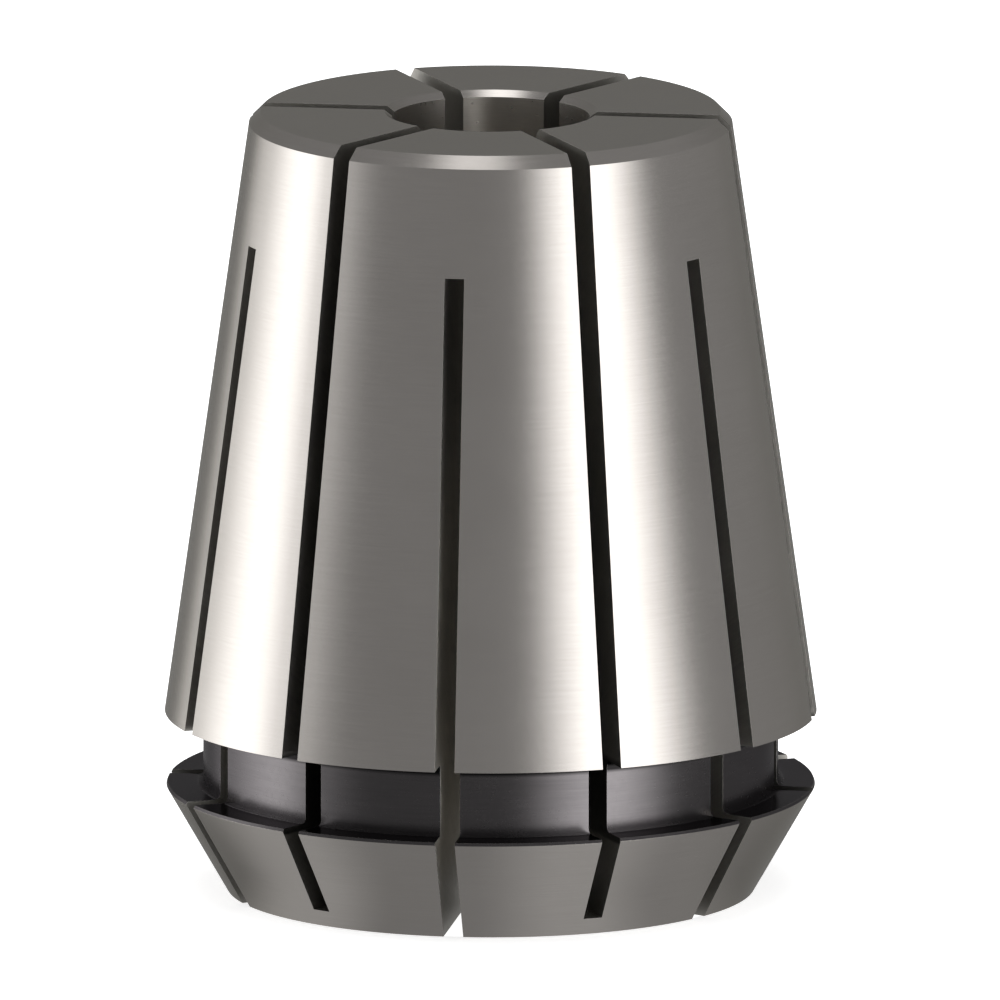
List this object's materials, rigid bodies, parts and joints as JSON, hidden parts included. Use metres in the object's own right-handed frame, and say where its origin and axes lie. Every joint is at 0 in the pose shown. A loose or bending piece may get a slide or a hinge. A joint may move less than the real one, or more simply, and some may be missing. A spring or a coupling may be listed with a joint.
{
  "type": "er spring collet",
  "caption": "Slotted steel spring collet that grips a tool shank: long seating taper, extraction groove, coned nut flange, plain through bore.",
  "frame": {"origin": "centre of the large face, on the collet's axis; the large face lies in the plane z = 0", "axes": "+Z along the axis from the large face to the small face; +X and -Y are square to it, and -Y runs through a saw cut that is open at the large face"},
  "size_m": [0.033, 0.033, 0.04],
  "materials": {
    "ground_steel": "finely ground spring steel, with a darker turned groove and saw cuts"
  },
  "bodies": {
    "root": {"collet": "ground_steel"}
  },
  "joints": []
}
